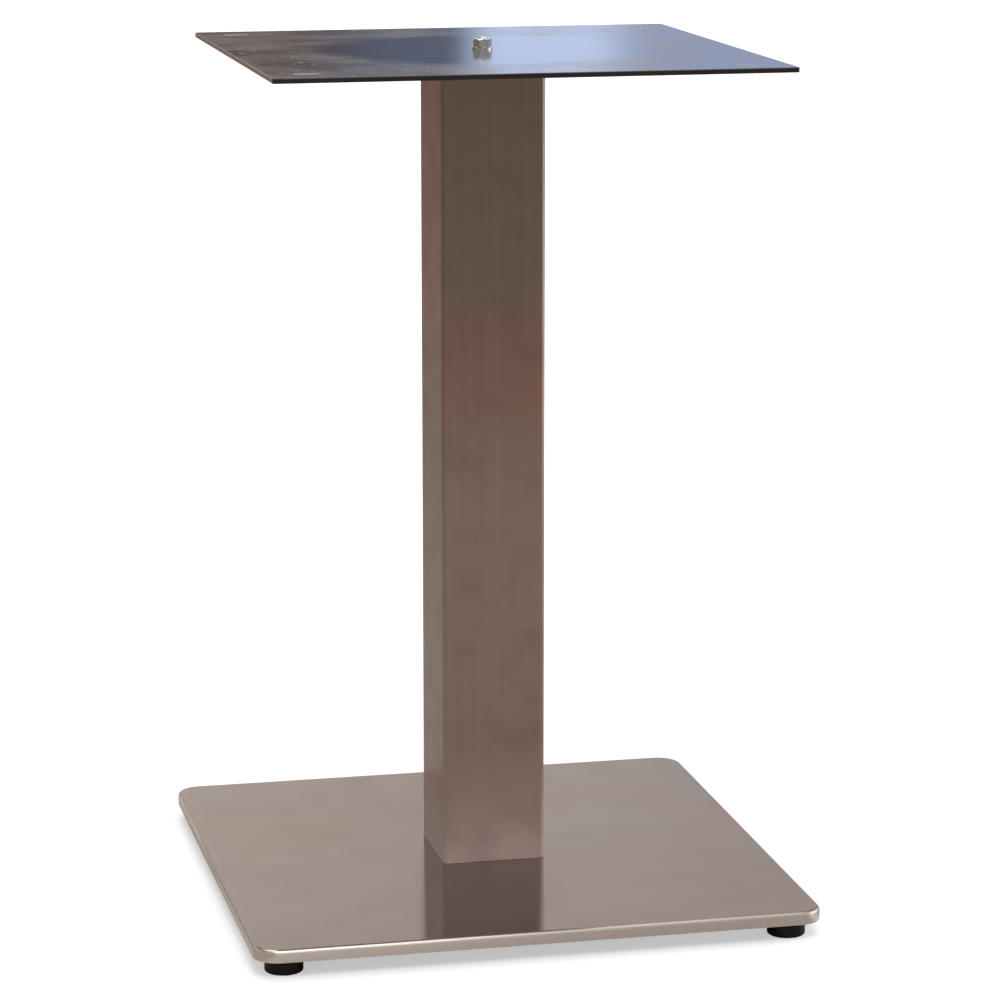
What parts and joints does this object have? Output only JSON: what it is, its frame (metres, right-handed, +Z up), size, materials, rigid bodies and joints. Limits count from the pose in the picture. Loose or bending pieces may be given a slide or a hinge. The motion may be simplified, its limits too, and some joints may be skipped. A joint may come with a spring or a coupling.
{
  "type": "square pedestal table base",
  "caption": "Pedestal table base: weighted square stainless foot, square brushed column clamped by a tie rod, black steel top plate with screw slots, screw-adjustable levelling feet.",
  "frame": {"origin": "on the floor, under the middle of the column, with the feet screwed right in", "axes": "+Z up along the column, -Y towards the front, +X to the right seen from the front"},
  "size_m": [0.45, 0.45, 0.6896],
  "materials": {
    "base_stainless": "brushed stainless with a polished rolled edge",
    "column_stainless": "brushed stainless, grain along the tube",
    "ballast_paint": "matt black primer",
    "plate_paint": "gloss black paint",
    "zinc_plate": "bright zinc plating",
    "pad_plastic": "moulded black nylon, matt"
  },
  "bodies": {
    "pedestal": {"base_cover": "base_stainless", "ballast_plate": "ballast_paint", "column_tube": "column_stainless", "lower_spigot": "zinc_plate", "upper_spigot": "zinc_plate", "top_plate": "plate_paint", "tie_rod": "zinc_plate", "top_washer": "zinc_plate", "top_nut": "zinc_plate", "inner_washer": "zinc_plate", "inner_nut": "zinc_plate", "bottom_washer": "zinc_plate", "bottom_nut": "zinc_plate"},
    "pad_front_left": {"foot_pad_front_left": "pad_plastic"},
    "pad_front_right": {"foot_pad_front_right": "pad_plastic"},
    "pad_rear_left": {"foot_pad_rear_left": "pad_plastic"},
    "pad_rear_right": {"foot_pad_rear_right": "pad_plastic"},
    "stud_front_left": {"foot_stud_front_left": "zinc_plate"},
    "stud_front_right": {"foot_stud_front_right": "zinc_plate"},
    "stud_rear_left": {"foot_stud_rear_left": "zinc_plate"},
    "stud_rear_right": {"foot_stud_rear_right": "zinc_plate"}
  },
  "joints": [
    {"name": "drop_front_left", "type": "slide", "parent": "pedestal", "child": "pad_front_left", "axis": [0, 0, -1], "range_m": [0, 0.0038]},
    {"name": "drop_front_right", "type": "slide", "parent": "pedestal", "child": "pad_front_right", "axis": [0, 0, -1], "range_m": [0, 0.0038]},
    {"name": "drop_rear_left", "type": "slide", "parent": "pedestal", "child": "pad_rear_left", "axis": [0, 0, -1], "range_m": [0, 0.0038]},
    {"name": "drop_rear_right", "type": "slide", "parent": "pedestal", "child": "pad_rear_right", "axis": [0, 0, -1], "range_m": [0, 0.0038]},
    {"name": "turn_front_left", "type": "hinge", "parent": "pad_front_left", "child": "stud_front_left", "pos_m": [-0.2, -0.2, 0], "axis": [0, 0, -1], "range_deg": [0, 1080]},
    {"name": "turn_front_right", "type": "hinge", "parent": "pad_front_right", "child": "stud_front_right", "pos_m": [0.2, -0.2, 0], "axis": [0, 0, -1], "range_deg": [0, 1080]},
    {"name": "turn_rear_left", "type": "hinge", "parent": "pad_rear_left", "child": "stud_rear_left", "pos_m": [-0.2, 0.2, 0], "axis": [0, 0, -1], "range_deg": [0, 1080]},
    {"name": "turn_rear_right", "type": "hinge", "parent": "pad_rear_right", "child": "stud_rear_right", "pos_m": [0.2, 0.2, 0], "axis": [0, 0, -1], "range_deg": [0, 1080]}
  ],
  "couplings": [
    {"joint": "drop_front_left", "follows": "turn_front_left", "m_per_rad": 0.00019894},
    {"joint": "drop_front_right", "follows": "turn_front_right", "m_per_rad": 0.00019894},
    {"joint": "drop_rear_left", "follows": "turn_rear_left", "m_per_rad": 0.00019894},
    {"joint": "drop_rear_right", "follows": "turn_rear_right", "m_per_rad": 0.00019894}
  ]
}
